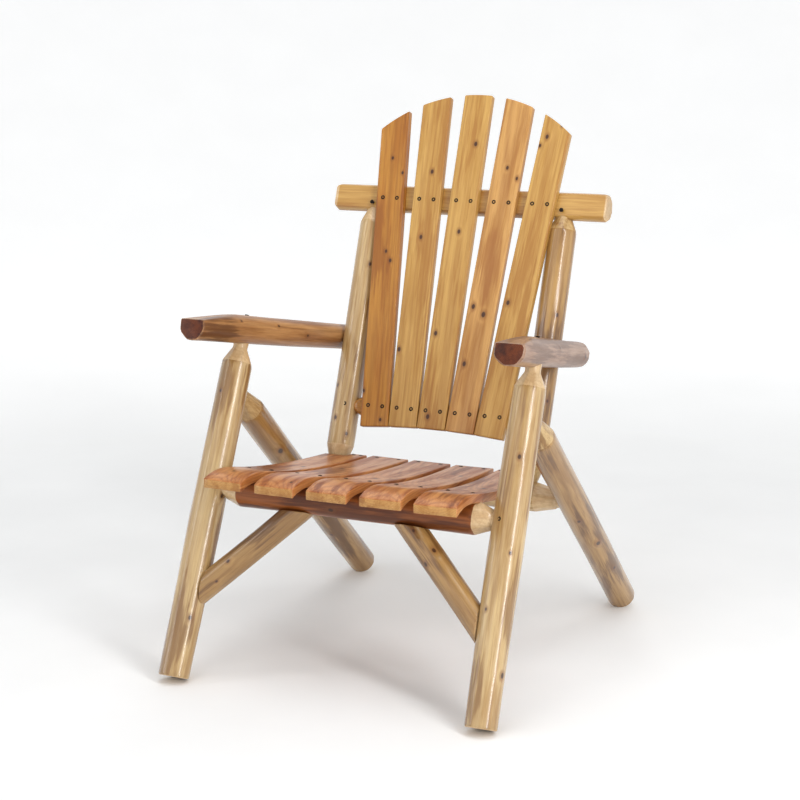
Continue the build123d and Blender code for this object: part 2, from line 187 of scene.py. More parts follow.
class Graph:
    """A material with its shader, and short calls that add nodes and join them."""

    def __init__(self, name):
        self.material = bpy.data.materials.new(name)
        self.material.use_nodes = True
        self.tree = self.material.node_tree
        self.tree.nodes.clear()
        self.shader = self.add("ShaderNodeBsdfPrincipled")
        output = self.add("ShaderNodeOutputMaterial")
        self.tree.links.new(self.shader.outputs[0], output.inputs["Surface"])

    def add(self, kind, **settings):
        made = self.tree.nodes.new(kind)
        for key, value in settings.items():
            setattr(made, key, value)
        return made

    def feed(self, socket, value):
        if isinstance(value, bpy.types.NodeSocket):
            self.tree.links.new(value, socket)
        elif socket.type == "RGBA" and len(value) == 3:
            socket.default_value = (*value, 1)
        else:
            socket.default_value = value

    def place(self):
        return self.add("ShaderNodeTexCoord").outputs["Object"]

    def math(self, operation, *values, clamp=False):
        made = self.add("ShaderNodeMath", operation=operation, use_clamp=clamp)
        for socket, value in zip(made.inputs, values):
            self.feed(socket, value)
        return made.outputs[0]

    def vector(self, operation, *values):
        made = self.add("ShaderNodeVectorMath", operation=operation)
        for socket, value in zip(made.inputs, values):
            self.feed(socket, value)
        return made.outputs["Value" if operation == "LENGTH" else "Vector"]

    def noise(self, place, scale, detail=2.0, rough=0.5, colour=False):
        made = self.add("ShaderNodeTexNoise")
        self.feed(made.inputs["Vector"], place)
        made.inputs["Scale"].default_value = scale
        made.inputs["Detail"].default_value = detail
        made.inputs["Roughness"].default_value = rough
        return made.outputs["Color" if colour else "Fac"]

    def grain(self, place, field):
        """Noise that is drawn out along the piece's own z axis."""
        stretch, scale, detail, rough = field
        return self.noise(self.vector("MULTIPLY", place, (1.0, 1.0, stretch)), scale, detail, rough)

    def span(self, value, low, high, start=0.0, end=1.0):
        """The value's way from low to high, as a number from start to end."""
        made = self.add("ShaderNodeMapRange", interpolation_type="SMOOTHSTEP")
        for socket, given in zip(made.inputs, (value, low, high, start, end)):
            self.feed(socket, given)
        return made.outputs[0]

    def ramp(self, value, *stops):
        made = self.add("ShaderNodeValToRGB")
        self.feed(made.inputs[0], value)
        band = made.color_ramp
        while len(band.elements) < len(stops):
            band.elements.new(0.5)
        for element, (position, colour) in zip(band.elements, stops):
            element.position = position
            element.color = (*colour, 1)
        return made.outputs[0]

    def mix(self, amount, first, second, blend="MIX"):
        made = self.add("ShaderNodeMix", data_type="RGBA", blend_type=blend)
        self.feed(made.inputs[0], amount)
        self.feed(made.inputs[6], first)
        self.feed(made.inputs[7], second)
        return made.outputs[2]

    def bump(self, height, distance, strength=1.0):
        made = self.add("ShaderNodeBump")
        made.inputs["Strength"].default_value = strength
        made.inputs["Distance"].default_value = distance
        self.feed(made.inputs["Height"], height)
        return made.outputs[0]


def tint(red, green, blue):
    """A colour as the eye reads it, from 0 to 255, in the shader's linear light."""
    return tuple(((c / 255 + 0.055) / 1.055) ** 2.4 for c in (red, green, blue))


# ---------------------------------------------------------------- wood

# Noise along the grain: how far it is stretched, scale, detail and roughness.
STREAK = (0.09, 50.0, 4.0, 0.62)
FINE = (0.035, 230.0, 3.0, 0.6)
BROAD = (0.35, 13.0, 2.0, 0.5)
FIBRE = (0.02, 900.0, 3.0, 0.6)
WAVES = (0.25, 60.0, 2.0, 0.5)
SEED_STEP = 1.7  # metres between two pieces' places in the noise
PITH_DRIFT = 0.016  # how far a pith line wanders
KNOT_STRETCH = 0.7  # a knot's mark is longer along the grain by the inverse
LATE_WOOD_POWER = 2.5  # sharpens the dark edge of each ring
VARNISH_IOR = 1.55
VARNISH_ROUGHNESS = 0.2
GRAIN_RELIEF = 0.22 * MM
VARNISH_RELIEF = 1.0 * MM

LOG_RING = 3.6 * MM
SEAT_RING = 4.2 * MM
BACK_RING = 4.6 * MM
LOG_END_RING = 2.6 * MM
BOARD_END_RING = 2.8 * MM
END_RINGS = 0.5  # how strongly the rings show on sawn ends

KNOT_BROWN = tint(58, 30, 14)
KNOT_EDGE = tint(116, 66, 28)

# Each tone: pale early wood, body, dark late wood, heartwood flame, and how strong the flame is.
TONES = {
    "honey": (tint(200, 171, 121), tint(172, 137, 84), tint(124, 84, 38), tint(108, 68, 27), 0.6),
    "khaki": (tint(176, 137, 80), tint(146, 107, 55), tint(104, 68, 27), tint(84, 48, 16), 0.7),
    "cream": (tint(212, 184, 142), tint(196, 164, 120), tint(160, 122, 78), tint(174, 138, 94), 0.3),
    "straw": (tint(194, 153, 83), tint(177, 133, 65), tint(143, 92, 36), tint(148, 94, 36), 0.45),
    "amber": (tint(181, 125, 48), tint(163, 103, 33), tint(120, 68, 16), tint(124, 64, 15), 0.5),
    "russet": (tint(202, 138, 80), tint(164, 95, 44), tint(112, 54, 19), tint(100, 47, 17), 0.6),
    "chestnut": (tint(150, 84, 34), tint(116, 60, 18), tint(76, 34, 7), tint(68, 27, 4), 0.7),
    "umber": (tint(186, 138, 87), tint(147, 98, 53), tint(97, 58, 27), tint(83, 46, 20), 0.8),
    "rose": (tint(163, 127, 101), tint(138, 101, 75), tint(98, 66, 45), tint(89, 57, 39), 0.5),
    "tan": (tint(200, 153, 88), tint(178, 128, 64), tint(132, 78, 32), tint(140, 82, 36), 0.4),
    "heart": (tint(106, 48, 14), tint(82, 33, 8), tint(48, 17, 3), tint(44, 14, 2), 0.6),
}


def wood(name, tone, pith, knots, seed, spacing, rings, gloss, end_grain=False):
    """Varnished wood whose rings lie round a pith line along the piece's own z axis.

    knots are (place on the surface, radius): the rings swing round them and their middles are dark.
    spacing is the ring width, rings is how strongly the rings show, and gloss is the varnish's weight.
    """
    pale, body, late, flame, flame_strength = TONES[tone]
    graph = Graph(name)
    here = graph.place()
    shifted = graph.vector("ADD", here, (0.0, 0.0, SEED_STEP * seed))
    across = graph.vector("MULTIPLY", graph.vector("SUBTRACT", here, (*pith, 0.0)), (1.0, 1.0, 0.0))
    drift = graph.noise(graph.vector("MULTIPLY", shifted, (8.0, 8.0, 1.3)), 1.0, 2.0, colour=True)
    drift = graph.vector("SUBTRACT", drift, (0.5, 0.5, 0.5))
    drift = graph.vector("MULTIPLY", drift, (PITH_DRIFT, PITH_DRIFT, 0.0))
    depth = graph.vector("LENGTH", graph.vector("ADD", across, drift))

    knot_core = 0.0
    knot_halo = 0.0
    for place, radius in knots:
        away = graph.vector("SUBTRACT", here, tuple(place))
        away = graph.vector("LENGTH", graph.vector("MULTIPLY", away, (1.0, 1.0, KNOT_STRETCH)))
        swing = graph.span(away, radius * 0.6, radius * 3.6, 0.45 * radius, 0.0)
        depth = graph.math("ADD", depth, swing)
        core = graph.span(away, radius * 0.55, radius * 1.05, 1.0, 0.0)
        halo = graph.span(away, radius * 0.8, radius * 2.3, 1.0, 0.0)
        knot_core = graph.math("MAXIMUM", knot_core, core)
        knot_halo = graph.math("MAXIMUM", knot_halo, halo)

    ring = graph.math("MULTIPLY", depth, 2 * math.pi / spacing)
    ring = graph.math("MULTIPLY_ADD", graph.math("SINE", ring), 0.5, 0.5)
    late_wood = graph.math("POWER", ring, LATE_WOOD_POWER)

    streak = graph.grain(shifted, STREAK)
    fine = graph.grain(shifted, FINE)
    broad = graph.grain(shifted, BROAD)
    fibre = graph.grain(shifted, FIBRE)

    colour = graph.mix(graph.span(streak, 0.38, 0.62), pale, body)
    colour = graph.mix(graph.math("MULTIPLY", late_wood, rings), colour, late)
    colour = graph.mix(graph.span(fine, 0.5, 0.68, 0.0, 0.3), colour, late)
    patch = graph.math("MULTIPLY_ADD", streak, 0.4, graph.math("MULTIPLY", broad, 0.5))
    patch = graph.math("MULTIPLY_ADD", fine, 0.14, patch)
    flame_area = graph.span(patch, 0.535, 0.60)
    colour = graph.mix(graph.math("MULTIPLY", flame_area, flame_strength), colour, flame)
    colour = graph.mix(graph.span(fibre, 0.3, 0.7, 0.28, 0.0), colour, late)
    if knots:
        colour = graph.mix(graph.math("MULTIPLY", knot_halo, 0.5), colour, KNOT_EDGE)
        colour = graph.mix(graph.math("MULTIPLY", knot_core, 0.95), colour, KNOT_BROWN)
    if end_grain:
        pore = graph.noise(here, 900.0, 2.0)
        colour = graph.mix(graph.span(pore, 0.4, 0.75, 0.0, 0.15), colour, flame)

    graph.feed(graph.shader.inputs["Base Color"], colour)
    graph.feed(graph.shader.inputs["Roughness"], graph.span(streak, 0.25, 0.75, 0.36, 0.52))
    graph.shader.inputs["Specular IOR Level"].default_value = 0.3
    graph.shader.inputs["Coat Weight"].default_value = gloss
    graph.shader.inputs["Coat IOR"].default_value = VARNISH_IOR
    graph.shader.inputs["Coat Roughness"].default_value = VARNISH_ROUGHNESS
    relief = graph.math("MULTIPLY_ADD", late_wood, 0.4, graph.math("MULTIPLY", fibre, 0.6))
    relief = graph.math("ADD", relief, graph.math("MULTIPLY", knot_core, -0.9)) if knots else relief
    graph.feed(graph.shader.inputs["Normal"], graph.bump(relief, GRAIN_RELIEF, 0.8))
    waves = graph.grain(shifted, WAVES)
    graph.feed(graph.shader.inputs["Coat Normal"], graph.bump(waves, VARNISH_RELIEF, 0.22))
    return graph.material


def dark_metal():
    """Bronzed screw steel, worn brighter in patches."""
    graph = Graph("screw_bronze")
    place = graph.place()
    wear = graph.noise(place, 700.0, 4.0, 0.6)
    colour = graph.ramp(wear, (0.35, tint(22, 17, 13)), (0.7, tint(46, 34, 24)))
    graph.feed(graph.shader.inputs["Base Color"], colour)
    graph.shader.inputs["Metallic"].default_value = 0.2
    graph.shader.inputs["Specular IOR Level"].default_value = 0.2
    graph.feed(graph.shader.inputs["Roughness"], graph.span(wear, 0.3, 0.7, 0.62, 0.45))
    graph.feed(graph.shader.inputs["Normal"], graph.bump(wear, 0.05 * MM))
    return graph.material


# ---------------------------------------------------------------- measuring the CAD nodes


def cad_facets(node):
    """The CAD node's triangles: points, triangle corners, middles, unit normals and areas."""
    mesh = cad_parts[node].data
    mesh.calc_loop_triangles()
    points = np.array([vertex.co[:] for vertex in mesh.vertices])
    triangles = np.array([triangle.vertices[:] for triangle in mesh.loop_triangles])
    corners = points[triangles]
    cross = np.cross(corners[:, 1] - corners[:, 0], corners[:, 2] - corners[:, 0])
    double = np.linalg.norm(cross, axis=1)
    solid = double > 1e-12
    normals = cross[solid] / double[solid, None]
    return points, triangles, corners[solid].mean(1), normals, double[solid] / 2


def cad_tree(points, triangles):
    """What rays are cast at, to find a CAD node's surface."""
    return BVHTree.FromPolygons(points.tolist(), triangles.tolist())


def log_axis(points, middles, normals, areas):
    """A point and a direction of the line that the log's round side runs along."""
    spread = points - points.mean(0)
    axis = np.linalg.svd(spread, full_matrices=False)[2][0]
    on_side = np.abs(normals @ axis) < 0.3
    centre = points.mean(0)
    for limit in (0.02, 0.006, 0.003, 0.003):
        weights = areas[on_side]
        sides = normals[on_side]
        axis = np.linalg.eigh((sides * weights[:, None]).T @ sides)[1][:, 0]
        tangents = np.cross(axis, normals)
        rows = tangents[on_side] * np.sqrt(weights)[:, None]
        wanted = (tangents[on_side] * middles[on_side]).sum(1) * np.sqrt(weights)
        pinned = np.vstack([rows, axis[None]])
        centre = np.linalg.lstsq(pinned, np.append(wanted, axis @ centre), rcond=None)[0]
        miss = np.abs((tangents * (middles - centre)).sum(1))
        on_side = (np.abs(normals @ axis) < 0.06) & (miss < limit)
    return Vector(centre), Vector(axis)


class Log:
    """One log of the CAD model: its own frame, its ends and its radius along its length."""

    def __init__(self, node, toward, side):
        points, triangles, middles, normals, areas = cad_facets(node)
        centre, axis = log_axis(points, middles, normals, areas)
        axis = axis if axis.dot(toward) > 0 else -axis
        side = (side - axis * side.dot(axis)).normalized()
        reach = points @ np.array(axis)
        start = centre + axis * (reach.min() - centre.dot(axis))
        self.length = float(reach.max() - reach.min())
        self.matrix = Matrix((side, axis.cross(side), axis)).transposed().to_4x4()
        self.matrix.translation = start
        self.inverse = self.matrix.inverted()
        self.tree = cad_tree(points, triangles)
        self.middles = middles
        self.normals = normals
        self.areas = areas
        self.facing = self.inverse.to_3x3() @ TO_VIEWER
        self.facing = Vector((self.facing.x, self.facing.y, 0)).normalized()

    def radius(self, along):
        """The radius at a distance from the start, past any mortise, bore or planed flat."""
        sizes = []
        rays = 32
        far = 80 * MM
        quantile = 0.75
        for ray in range(rays):
            turn = 2 * math.pi * ray / rays
            outward = self.matrix.to_3x3() @ Vector((math.cos(turn), math.sin(turn), 0))
            on_axis = self.matrix @ Vector((0, 0, along))
            hit = self.tree.ray_cast(on_axis + outward * far, -outward, far)
            if hit[0] is not None:
                sizes.append(far - hit[3])
        sizes.sort()
        return sizes[int(quantile * len(sizes))] if sizes else 0.0

    def plane(self, chosen):
        """The flat face that most of the chosen facets lie in, in the log's own frame."""
        weights = (self.areas[chosen] ** 2)[:, None]
        normal = Vector((self.normals[chosen] * weights).sum(0)).normalized()
        point = Vector((self.middles[chosen] * weights).sum(0) / weights.sum())
        return self.inverse @ point, self.inverse.to_3x3() @ normal

    def end_plane(self, sign):
        """The sawn face at the far end (sign 1) or at the start (sign -1)."""
        axis = np.array(self.matrix.to_3x3() @ Vector((0, 0, 1)))
        return self.plane(self.normals @ axis * sign > 0.3)

    def on_surface(self, share, across):
        """A point of the side that faces the viewer, in the log's own frame.

        share is the way along the log, and across is from -1 to 1 over its visible width.
        """
        along = share * self.length
        size = self.radius(along)
        deep = math.sqrt(max(0.0, 1 - across**2))
        level = Vector((across, 0, 0)) if abs(self.facing.x) < 0.5 else Vector((0, across, 0))
        return (level + self.facing * deep).normalized() * size + Vector((0, 0, along))


# ---------------------------------------------------------------- meshes


def grid_faces(rows, columns):
    """The quads between the rows of a grid whose columns close on themselves."""
    faces = []
    for row in range(rows - 1):
        for column in range(columns):
            after = (column + 1) % columns
            low = row * columns
            high = low + columns
            faces.append((low + column, low + after, high + after, high + column))
    return faces


def add_piece(name, points, faces, materials, matrix, nodes, kinds=None, sharp=40):
    """Makes a piece from its mesh, and has it ride and stand for its CAD nodes.

    kinds says which faces have another material than the first, and which one.
    """
    mesh = bpy.data.meshes.new(name)
    mesh.from_pydata([tuple(point) for point in points], [], faces)
    mesh.update()
    mesh.polygons.foreach_set("use_smooth", [True] * len(mesh.polygons))
    mesh.set_sharp_from_angle(angle=math.radians(sharp))
    for material in materials:
        mesh.materials.append(material)
    for face, kind in (kinds or {}).items():
        mesh.polygons[face].material_index = kind
    piece = bpy.data.objects.new(name, mesh)
    bpy.context.collection.objects.link(piece)
    piece.matrix_world = matrix
    bpy.context.view_layer.update()
    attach(piece, "root")
    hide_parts(*nodes)
    return piece


def tube(rings):
    """Points and faces of a closed solid from its rings, with the two end faces last."""
    columns = len(rings[0])
    points = [point for ring in rings for point in ring]
    faces = grid_faces(len(rings), columns)
    faces.append(tuple(reversed(range(columns))))
    last = (len(rings) - 1) * columns
    faces.append(tuple(range(last, last + columns)))
    return points, faces


def stations(length):
    """Distances along a log: close together at its ends, to draw their edges, and even between."""
    edge = [0.0, 0.6 * MM, 1.6 * MM, 3.0 * MM]
    count = max(4, round((length - 12 * MM) / STATION))
    inner = [6 * MM + (length - 12 * MM) * step / count for step in range(count + 1)]
    return edge + inner + [length - place for place in reversed(edge)]


def flats(rng, count, shallow, deep):
    """Drawknife flats round a log: where each faces, and how near the axis it lies."""
    made = []
    for step in range(count):
        turn = 2 * math.pi * (step + rng.uniform(-0.3, 0.3)) / count
        made.append((turn, rng.uniform(deep, shallow)))
    return made


def flat_cut(turn, cuts):
    """The share of the radius that the flats leave in one direction."""
    left = 1.0
    for facing, depth in cuts:
        inner = math.cos(turn - facing)
        if inner > 0.3:
            left = min(left, depth / inner)
    return left


def shape_log(log, rng, knots, planes=(), wander=1.2 * MM, cut_ends=None):
    """The rings of a peeled log: the CAD radius with the marks of growth and of the knife.

    Returns the rings and the rows that the drawknife cut to a point, where the wood is fresh.
    """
    places = stations(log.length)
    sizes = [log.radius(min(max(place, 0.4 * MM), log.length - 0.4 * MM)) for place in places]
    body = max(sizes)
    peel = flats(rng, 9, 1.0, 0.98)
    pencil = flats(rng, 8, 0.97, 0.925)
    offset = Vector((rng.uniform(0, 50), rng.uniform(0, 50), rng.uniform(0, 50)))
    bend = rng.uniform(0, 2 * math.pi)
    rings = []
    cut_rows = []
    for index, (along, size) in enumerate(zip(places, sizes)):
        before = sizes[max(index - 2, 0)]
        after = sizes[min(index + 2, len(sizes) - 1)]
        run = places[min(index + 2, len(sizes) - 1)] - places[max(index - 2, 0)]
        steep = min(1.0, max(0.0, (abs(after - before) / run - 0.08) / 0.12))
        tenon = 1.0 if size < 0.72 * body else 0.0
        if (steep > 0.5 or tenon) and not cut_ends and index + 1 < len(places):
            cut_rows.append(index)
        sway = wander * math.sin(math.pi * along / log.length) * (1 - tenon)
        centre = Vector((math.cos(bend), math.sin(bend), 0)) * sway
        ring = []
        for column in range(LOG_COLUMNS):
            turn = 2 * math.pi * column / LOG_COLUMNS
            out = Vector((math.cos(turn), math.sin(turn), 0))
            slow = noise.noise(out * 0.7 + Vector((0, 0, along / 0.16)) + offset)
            quick = noise.noise(out * 2.2 + Vector((0, 0, along / 0.03)) + offset)
            twist = 0.5 * noise.noise(Vector((0, 0, along / 0.25)) + offset)
            left = flat_cut(turn + twist, peel)
            left += (flat_cut(turn, pencil) - left) * steep
            growth = 1 + (0.02 * slow + 0.004 * quick) * (1 - tenon) * (1 - 0.6 * steep)
            point = centre + out * size * left * growth
            point.z = along
            for spot, spot_size in knots:
                near = (point - spot).length / (spot_size * 2.4)
                point += out * 0.2 * spot_size * math.exp(-near * near)
            ring.append(point)
        rings.append(ring)
    if cut_ends:
        rings = shear_ends(rings, log.length, cut_ends)
    for spot, facing, softness in planes:
        for ring in rings:
            for point in ring:
                press(point, spot, facing, softness)
    return ease_ends(rings), cut_rows


def press(point, spot, facing, softness):
    """Brings a point that stands proud of a planed face down to it, with a soft edge."""
    above = (point - spot).dot(facing)
    blend = max(softness - abs(above), 0.0) / softness
    level = min(above, 0.0) - blend * blend * softness / 4
    point += facing * (level - above)


def shear_ends(rings, length, planes):
    """Slides each column of a log so that its ends lie in two slanting sawn faces."""
    (low_spot, low_facing), (high_spot, high_facing) = planes
    for ring in rings:
        for point in ring:
            share = point.z / length
            flat = Vector((point.x, point.y, 0))
            start = low_facing.dot(low_spot - flat) / low_facing.z
            end = high_facing.dot(high_spot - flat) / high_facing.z
            point.z = start + share * (end - start)
    return rings


def ease_ends(rings):
    """Draws the first and last rings in a little, so that the end edges catch the light."""
    for index, keep in ((0, 0.965), (1, 0.988), (-1, 0.965), (-2, 0.988)):
        ring = rings[index]
        middle = sum(ring, Vector()) / len(ring)
        for point in ring:
            point.xy = middle.xy + (point.xy - middle.xy) * keep
    return rings


def make_log(
    node, toward, side, tone, seed, knots=(), wander=1.2 * MM, planed=None, slanted=False, gloss=1.0
):
    """One log, from its CAD node to a finished piece.

    knots are (share of the length, place across the visible side, radius in mm).
    """
    log = Log(node, toward, side)
    rng = random.Random(seed)
    spots = [(log.on_surface(share, across), size * MM) for share, across, size in knots]
    cut_ends = (log.end_plane(-1), log.end_plane(1)) if slanted else None
    planes = planed(log) if planed else ()
    rings, cut_rows = shape_log(log, rng, spots, planes, wander, cut_ends)
    points, faces = tube(rings)
    if "leg" in node:
        stand_on_floor(log, points)
    pith = (rng.uniform(-6, 6) * MM, rng.uniform(-6, 6) * MM)
    end_tone = END_TONES.get(tone, "cream")
    cut_tone = CUT_TONES.get(tone, "cream")
    materials = (
        wood(node + "_grain", tone, pith, spots, seed, LOG_RING, 0.24, gloss),
        wood(node + "_end", end_tone, pith, (), seed, LOG_END_RING, END_RINGS, 0.05, end_grain=True),
        wood(node + "_cut", cut_tone, pith, (), seed, LOG_RING, 0.16, 0.6),
    )
    kinds = {len(faces) - 2: 1, len(faces) - 1: 1}
    for row in cut_rows:
        for column in range(LOG_COLUMNS):
            kinds.setdefault(row * LOG_COLUMNS + column, 2)
    return add_piece(node, points, faces, materials, log.matrix, (node,), kinds)


def stand_on_floor(log, points):
    """Lifts any point of a leg that would lie under the floor."""
    for point in points:
        world = log.matrix @ point
        if world.z < 0:
            world.z = 0.0
            point.xyz = log.inverse @ world


END_TONES = {"umber": "heart", "rose": "heart"}
CUT_TONES = {"umber": "umber", "rose": "rose", "amber": "amber", "khaki": "honey"}


def planed_arm(log):
    """The scooped top of an armrest, towards its front end."""
    axis = np.array(log.matrix.to_3x3() @ Vector((0, 0, 1)))
    lean = log.normals @ axis
    spot, facing = log.plane((lean < -0.06) & (lean > -0.3) & (log.normals[:, 2] > 0.8))
    return ((spot, facing, 3 * MM),)


def planed_rail(log):
    """The flat on the front of the top rail or of the lower rail, where the back slats lie."""
    axis = np.array(log.matrix.to_3x3() @ Vector((0, 0, 1)))
    flat = (np.abs(log.normals @ axis) < 0.02) & (log.normals[:, 1] < -0.9)
    spot, facing = log.plane(flat)
    return ((spot, facing, 1 * MM),)


# ---------------------------------------------------------------- boards


def section(low, high, under, top, ease):
    """A board's outline across its length, as (across, height) points, with its edges eased."""
    def arc(centre, start):
        turns = [start + math.pi / 2 * step / 3 for step in range(4)]
        return [(centre[0] + ease * math.cos(t), centre[1] + ease * math.sin(t)) for t in turns]

    steps = range(1, BOARD_COLUMNS)
    width = high - low - 2 * ease
    outline = arc((high - ease, top - ease), 0)
    outline += [(high - ease - width * step / BOARD_COLUMNS, top) for step in steps]
    outline += arc((low + ease, top - ease), math.pi / 2)
    outline += arc((low + ease, under + ease), math.pi)
    outline += [(low + ease + width * step / BOARD_COLUMNS, under) for step in steps]
    outline += arc((high - ease, under + ease), 1.5 * math.pi)
    return outline


def end_ease(place, length, depth):
    """How far a board's outline draws in at a place along it, to ease the edges of its ends."""
    close = min(place, length - place)
    return depth * max(0.0, 1 - close / END_EASE_REACH) ** 2


def board_frame(middles, normals, areas, face, across):
    """A board's axes from its CAD facets: across it and out of its face."""
    flat = normals @ np.array(face) > 0.9
    facing = Vector((normals[flat] * areas[flat, None]).sum(0)).normalized()
    edge = normals @ np.array(across) > 0.9
    wide = Vector((normals[edge] * areas[edge, None]).sum(0)).normalized()
    return wide, facing


def make_seat_slat(number, tone, seed, knots=()):
    """A seat slat: the CAD side profile, eased edges, slightly cupped."""
    node = f"seat_slat_{number}"
    points, triangles, middles, normals, areas = cad_facets(node)
    wide, _ = board_frame(middles, normals, areas, UP, Vector((1, 0, 0)))
    wide.z = 0
    wide.normalize()
    back = UP.cross(wide)
    tree = cad_tree(points, triangles)
    across = points @ np.array(wide)
    along = points @ np.array(back)
    front, rear = along.min(), along.max()
    at_front = along < front + 0.2 * (rear - front)
    low, high = across[at_front].min(), across[at_front].max()
    at_rear = along > rear - 4 * MM
    rear_low, rear_high = across[at_rear].min(), across[at_rear].max()
    beyond = (across < rear_low - MM) | (across > rear_high + MM)
    notch = along[beyond].max() if beyond.any() else rear + 1
    middle = (low + high) / 2
    rng = random.Random(seed)
    cup = rng.uniform(0.0, 0.3) * MM
    origin = wide * middle + back * front + UP * SEAT_LEVEL
    matrix = Matrix((wide, -UP, back)).transposed().to_4x4()
    matrix.translation = origin

    def heights(place):
        """The under side and the upper side at a distance behind the front end, clear of the bores."""
        tops = []
        unders = []
        for share in (0.15, 0.5, 0.85):
            spot = wide * (rear_low + share * (rear_high - rear_low)) + back * (front + place)
            from_above = tree.ray_cast(spot + UP, -UP)[0]
            from_below = tree.ray_cast(spot, UP)[0]
            if from_above:
                tops.append(from_above.z)
                unders.append(from_below.z)
        return min(unders) - SEAT_LEVEL, max(tops) - SEAT_LEVEL

    length = rear - front
    places = stations(length)
    if notch < rear:
        places = sorted(places + [notch - front, notch - front + 0.4 * MM])
    rings = []
    for place in places:
        under, top = heights(min(max(place, 0.5 * MM), length - 0.5 * MM))
        cut = place > notch - front + 0.2 * MM
        left = (rear_low if cut else low) - middle
        right = (rear_high if cut else high) - middle
        shrink = end_ease(place, length, 1.0 * MM)
        ring = []
        for x, z in section(left + shrink, right - shrink, under + shrink, top - shrink, SEAT_EDGE):
            sag = cup * (1 - (x / (high - middle)) ** 2)
            ripple = RIPPLE_SEAT * noise.noise(Vector((x * 30, place * 12, seed)))
            ring.append(Vector((x, -(z - sag + ripple), place)))
        rings.append(ring)
    rings = [list(reversed(ring)) for ring in rings]
    points, faces = tube(rings)
    spots = []
    for share, side, size in knots:
        place = share * length
        under, top = heights(place)
        spots.append((Vector((side * (high - middle), -top, place)), size * MM))
    pith = (rng.uniform(-0.02, 0.02), rng.uniform(0.02, 0.05))
    grain = wood(node + "_grain", tone, pith, spots, seed, SEAT_RING, 0.3, 0.25)
    end = wood(node + "_end", "tan", pith, (), seed, BOARD_END_RING, END_RINGS, 0.3, end_grain=True)
    kinds = {len(faces) - 2: 1, len(faces) - 1: 1}
    return add_piece(node, points, faces, (grain, end), matrix, (node,), kinds, sharp=50)


def make_back_slat(number, tone, seed, knots=()):
    """A back slat: a fanned board whose top follows the crown of the back."""
    node = f"back_slat_{number}"
    points, triangles, middles, normals, areas = cad_facets(node)
    wide, facing = board_frame(middles, normals, areas, Vector((0, -0.94, 0.35)), Vector((1, 0, 0)))
    wide = (wide - facing * wide.dot(facing)).normalized()
    up = facing.cross(wide)
    tree = cad_tree(points, triangles)
    across = points @ np.array(wide)
    along = points @ np.array(up)
    out = points @ np.array(facing)
    foot, crown = along.min(), along.max()
    low, high = across.min(), across.max()
    middle = (low + high) / 2
    rear, front = out.min(), out.max()
    thick = front - rear
    matrix = Matrix((wide, -facing, up)).transposed().to_4x4()
    matrix.translation = wide * middle + up * foot + facing * rear
    half = (high - low) / 2
    length = crown - foot

    def top_at(x):
        """How far up the board reaches at a place across it."""
        x = min(max(x, -half + 0.4 * MM), half - 0.4 * MM)
        above = matrix @ Vector((x, -thick / 2, length + 0.1))
        return length + 0.1 - (tree.ray_cast(above, -up)[0] - above).length

    rng = random.Random(seed)
    tops = {}
    rings = []
    cup = rng.uniform(0.2, 0.5) * MM
    for place in stations(length):
        shrink = end_ease(place, length, 1.2 * MM)
        ring = []
        for x, z in section(-half + shrink, half - shrink, shrink, thick - shrink, BACK_EDGE):
            if round(x, 6) not in tops:
                tops[round(x, 6)] = top_at(x)
            reach = place * tops[round(x, 6)] / length
            ripple = RIPPLE_BACK * noise.noise(Vector((x * 30, place * 9, seed)))
            sag = cup * (1 - (x / half) ** 2)
            ring.append(Vector((x, -(z - sag + ripple), reach)))
        rings.append(list(reversed(ring)))
    points, faces = tube(rings)
    spots = [
        (Vector((side * half, -thick, share * length)), size * MM) for share, side, size in knots
    ]
    pith = (rng.uniform(-0.03, 0.03), rng.uniform(0.03, 0.07))
    grain = wood(node + "_grain", tone, pith, spots, seed, BACK_RING, 0.34, 0.3)
    end = wood(node + "_end", tone, pith, (), seed, BOARD_END_RING, END_RINGS, 0.1, end_grain=True)
    kinds = {len(faces) - 2: 1, len(faces) - 1: 1}
    return add_piece(node, points, faces, (grain, end), matrix, (node,), kinds, sharp=50)


# ---------------------------------------------------------------- screws


def loose_parts(points, triangles):
    """The separate solids of a CAD node, as lists of points."""
    keys = {}
    same = [keys.setdefault(tuple(np.round(point, 6)), len(keys)) for point in points]
    parent = list(range(len(keys)))

    def root(item):
        while parent[item] != item:
            item = parent[item]
        return item

    for a, b, c in triangles:
        for other in (b, c):
            parent[root(same[other])] = root(same[a])
    groups = {}
    for index, key in enumerate(same):
        groups.setdefault(root(key), []).append(points[index])
    return [np.array(group) for group in groups.values()]


